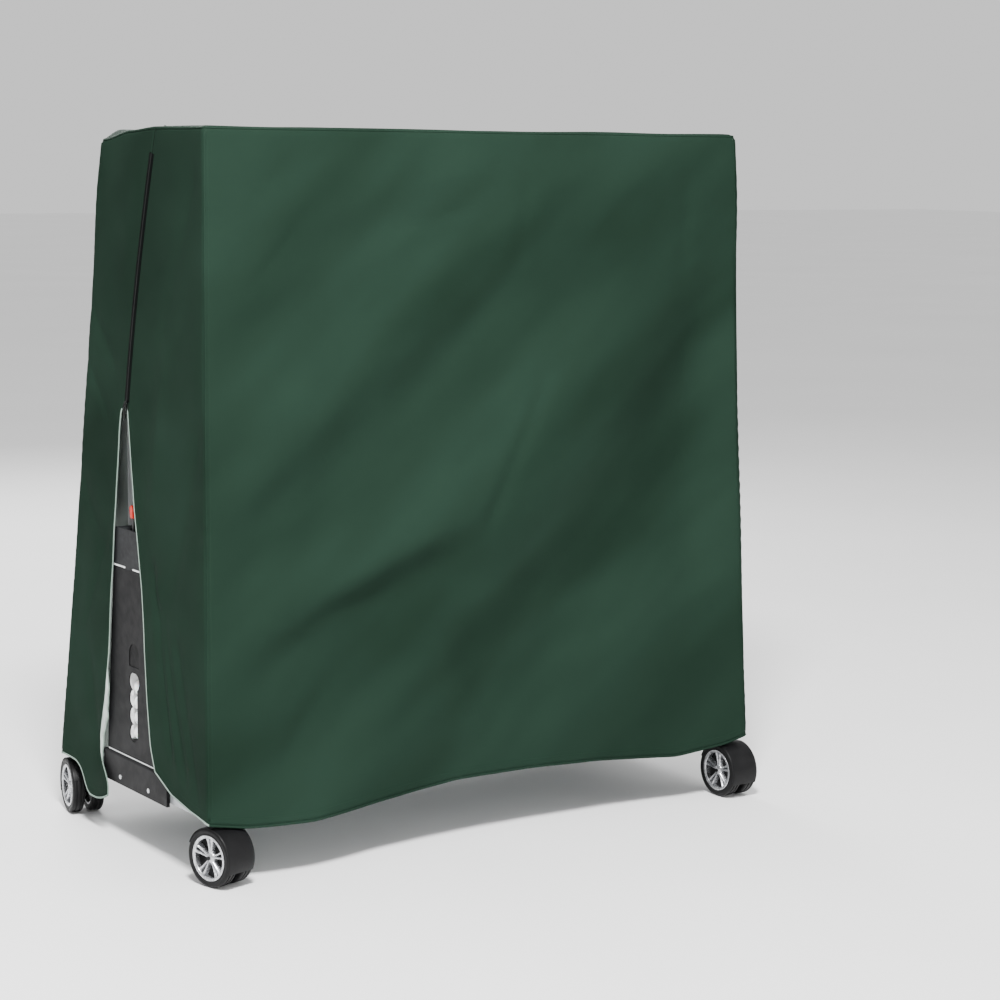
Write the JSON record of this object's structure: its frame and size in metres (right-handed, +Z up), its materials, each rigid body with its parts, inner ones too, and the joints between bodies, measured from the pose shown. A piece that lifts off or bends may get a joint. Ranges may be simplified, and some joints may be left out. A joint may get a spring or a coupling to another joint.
{
  "type": "folding table-tennis table",
  "caption": "Roll-away table-tennis table folded up for storage under a zipped fabric cover, with tilting halves, self-folding legs, net and swivel casters.",
  "frame": {"origin": "on the floor, at the bottom centre of the folded and covered table", "axes": "+Z up; X along the table width and the net; Y in the direction in which the halves fold down, front half on -Y"},
  "size_m": [1.7422, 0.9764, 1.8585],
  "materials": {
    "playing_board": "satin painted board",
    "edge_frame": "satin light grey",
    "frame_steel": "satin light grey",
    "dark_steel": "satin dark grey",
    "casing_plastic": "fine textured dark grey",
    "guard_plastic": "matt black",
    "foot_rubber": "matt black",
    "lever_plastic": "orange-red grip on a black arm",
    "fastener_steel": "zinc plated",
    "net_fabric": "knotted mesh with a white tape",
    "ball_plastic": "white celluloid-like",
    "fork_plastic": "black moulded",
    "tyre_rubber": "black, grooved",
    "rim_silver": "silver painted spokes",
    "zip_metal": "pale grey",
    "cover_fabric": "dark green coated polyester"
  },
  "bodies": {
    "chassis": {"base_beams": "frame_steel", "base_casings": "casing_plastic", "casing_screws": "fastener_steel", "cross_tubes": "frame_steel", "tower_frame_left": "dark_steel", "tower_frame_right": "dark_steel", "tower_panel_left": "casing_plastic", "tower_panel_right": "casing_plastic", "tower_caps": "casing_plastic", "hinge_pins": "fastener_steel", "net_posts": "dark_steel", "net": "net_fabric", "spare_balls": "ball_plastic"},
    "front_half": {"front_board": "playing_board", "front_side_rails": "edge_frame", "front_end_rails": "edge_frame", "front_cross_rails": "frame_steel", "front_corner_guards": "guard_plastic"},
    "front_leg": {"front_leg_tubes": "frame_steel", "front_leg_crossbar": "frame_steel", "front_leg_feet": "foot_rubber"},
    "front_links": {"front_link_rods": "frame_steel"},
    "back_half": {"back_board": "playing_board", "back_side_rails": "edge_frame", "back_end_rails": "edge_frame", "back_cross_rails": "frame_steel", "back_corner_guards": "guard_plastic"},
    "back_leg": {"back_leg_tubes": "frame_steel", "back_leg_crossbar": "frame_steel", "back_leg_feet": "foot_rubber"},
    "back_links": {"back_link_rods": "frame_steel"},
    "latch_left": {"latch_lever_left": "lever_plastic"},
    "latch_right": {"latch_lever_right": "lever_plastic"},
    "swivel_front_left": {"fork_front_left": "fork_plastic"},
    "wheel_outer_front_left": {"tyre_outer_front_left": "tyre_rubber", "rim_outer_front_left": "rim_silver"},
    "wheel_inner_front_left": {"tyre_inner_front_left": "tyre_rubber", "rim_inner_front_left": "rim_silver"},
    "swivel_front_right": {"fork_front_right": "fork_plastic"},
    "wheel_outer_front_right": {"tyre_outer_front_right": "tyre_rubber", "rim_outer_front_right": "rim_silver"},
    "wheel_inner_front_right": {"tyre_inner_front_right": "tyre_rubber", "rim_inner_front_right": "rim_silver"},
    "swivel_back_left": {"fork_back_left": "fork_plastic"},
    "wheel_outer_back_left": {"tyre_outer_back_left": "tyre_rubber", "rim_outer_back_left": "rim_silver"},
    "wheel_inner_back_left": {"tyre_inner_back_left": "tyre_rubber", "rim_inner_back_left": "rim_silver"},
    "swivel_back_right": {"fork_back_right": "fork_plastic"},
    "wheel_outer_back_right": {"tyre_outer_back_right": "tyre_rubber", "rim_outer_back_right": "rim_silver"},
    "wheel_inner_back_right": {"tyre_inner_back_right": "tyre_rubber", "rim_inner_back_right": "rim_silver"},
    "cover": {"cover_top": "cover_fabric", "cover_front": "cover_fabric", "cover_back": "cover_fabric", "cover_right_end": "cover_fabric", "cover_left_front_flap": "cover_fabric", "cover_left_back_flap": "cover_fabric"},
    "zip": {"zip_slider": "zip_metal"}
  },
  "joints": [
    {"name": "front_fold", "type": "hinge", "parent": "chassis", "child": "front_half", "pos_m": [0, -0.215, 0.695], "axis": [1, 0, 0], "range_deg": [0, 90], "deforming": ["cover_top", "cover_front", "cover_back", "cover_right_end", "cover_left_front_flap", "cover_left_back_flap", "zip_slider"]},
    {"name": "front_leg_fold", "type": "hinge", "parent": "front_half", "child": "front_leg", "pos_m": [0, -0.225, 1.44], "axis": [1, 0, 0], "range_deg": [-90, 0]},
    {"name": "front_link_fold", "type": "hinge", "parent": "chassis", "child": "front_links", "pos_m": [0, -0.235, 0.635], "axis": [1, 0, 0], "range_deg": [0, 90]},
    {"name": "back_fold", "type": "hinge", "parent": "chassis", "child": "back_half", "pos_m": [0, 0.215, 0.695], "axis": [-1, 0, 0], "range_deg": [0, 90], "deforming": ["cover_top", "cover_front", "cover_back", "cover_right_end", "cover_left_front_flap", "cover_left_back_flap", "zip_slider"]},
    {"name": "back_leg_fold", "type": "hinge", "parent": "back_half", "child": "back_leg", "pos_m": [0, 0.225, 1.44], "axis": [-1, 0, 0], "range_deg": [-90, 0]},
    {"name": "back_link_fold", "type": "hinge", "parent": "chassis", "child": "back_links", "pos_m": [0, 0.235, 0.635], "axis": [-1, 0, 0], "range_deg": [0, 90]},
    {"name": "latch_left_rock", "type": "hinge", "parent": "chassis", "child": "latch_left", "pos_m": [-0.826, 0.035, 0.8], "axis": [1, 0, 0], "range_deg": [-12, 12], "stiffness_Nm_per_rad": 0.6},
    {"name": "latch_right_rock", "type": "hinge", "parent": "chassis", "child": "latch_right", "pos_m": [0.826, 0.035, 0.8], "axis": [1, 0, 0], "range_deg": [-12, 12], "stiffness_Nm_per_rad": 0.6},
    {"name": "swivel_front_left", "type": "hinge", "parent": "chassis", "child": "swivel_front_left", "pos_m": [-0.817, -0.385, 0.155], "axis": [0, 0, 1], "continuous": true},
    {"name": "spin_outer_front_left", "type": "hinge", "parent": "swivel_front_left", "child": "wheel_outer_front_left", "pos_m": [-0.81149, -0.4063, 0.075], "axis": [0.9681, 0.2504, 0], "continuous": true},
    {"name": "spin_inner_front_left", "type": "hinge", "parent": "swivel_front_left", "child": "wheel_inner_front_left", "pos_m": [-0.81149, -0.4063, 0.075], "axis": [0.9681, 0.2504, 0], "continuous": true},
    {"name": "swivel_front_right", "type": "hinge", "parent": "chassis", "child": "swivel_front_right", "pos_m": [0.817, -0.385, 0.155], "axis": [0, 0, 1], "continuous": true},
    {"name": "spin_outer_front_right", "type": "hinge", "parent": "swivel_front_right", "child": "wheel_outer_front_right", "pos_m": [0.817, -0.407, 0.075], "axis": [1, 0, 0], "continuous": true},
    {"name": "spin_inner_front_right", "type": "hinge", "parent": "swivel_front_right", "child": "wheel_inner_front_right", "pos_m": [0.817, -0.407, 0.075], "axis": [1, 0, 0], "continuous": true},
    {"name": "swivel_back_left", "type": "hinge", "parent": "chassis", "child": "swivel_back_left", "pos_m": [-0.817, 0.385, 0.155], "axis": [0, 0, 1], "continuous": true},
    {"name": "spin_outer_back_left", "type": "hinge", "parent": "swivel_back_left", "child": "wheel_outer_back_left", "pos_m": [-0.81318, 0.40667, 0.075], "axis": [-0.9848, 0.1736, 0], "continuous": true},
    {"name": "spin_inner_back_left", "type": "hinge", "parent": "swivel_back_left", "child": "wheel_inner_back_left", "pos_m": [-0.81318, 0.40667, 0.075], "axis": [-0.9848, 0.1736, 0], "continuous": true},
    {"name": "swivel_back_right", "type": "hinge", "parent": "chassis", "child": "swivel_back_right", "pos_m": [0.817, 0.385, 0.155], "axis": [0, 0, 1], "continuous": true},
    {"name": "spin_outer_back_right", "type": "hinge", "parent": "swivel_back_right", "child": "wheel_outer_back_right", "pos_m": [0.81149, 0.4063, 0.075], "axis": [-0.9681, -0.2504, 0], "continuous": true},
    {"name": "spin_inner_back_right", "type": "hinge", "parent": "swivel_back_right", "child": "wheel_inner_back_right", "pos_m": [0.81149, 0.4063, 0.075], "axis": [-0.9681, -0.2504, 0], "continuous": true},
    {"name": "cover_lift", "type": "slide", "parent": "chassis", "child": "cover", "axis": [0, 0, 1], "range_m": [0, 1.75]},
    {"name": "zip_slide", "type": "slide", "parent": "cover", "child": "zip", "axis": [0.0208, -0.2099, 0.9775], "range_m": [0, 0.64]}
  ],
  "couplings": [
    {"joint": "front_leg_fold", "follows": "front_fold", "ratio": -1},
    {"joint": "front_link_fold", "follows": "front_fold", "ratio": 1},
    {"joint": "back_leg_fold", "follows": "back_fold", "ratio": -1},
    {"joint": "back_link_fold", "follows": "back_fold", "ratio": 1}
  ]
}
